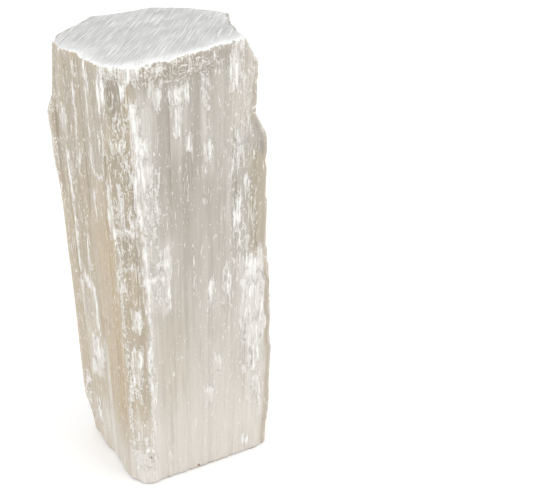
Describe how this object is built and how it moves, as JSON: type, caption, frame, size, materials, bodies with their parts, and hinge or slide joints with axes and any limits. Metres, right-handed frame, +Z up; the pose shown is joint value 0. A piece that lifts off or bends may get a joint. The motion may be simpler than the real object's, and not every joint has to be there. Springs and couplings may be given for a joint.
{
  "type": "selenite crystal blade",
  "caption": "Sawn length of fibrous selenite crystal with flat cut ends and splintered natural sides, standing upright on its lower cut as a display piece.",
  "frame": {"origin": "middle of the bounding box at the level of the lower saw cut, which the crystal stands on", "axes": "+Z up along the fibres, -Y out of the broad front face, +X to the right along that face"},
  "size_m": [0.0806, 0.0696, 0.2035],
  "materials": {
    "satin_spar": "silky, translucent, fibrous"
  },
  "bodies": {
    "root": {"selenite_blade": "satin_spar"}
  },
  "joints": []
}
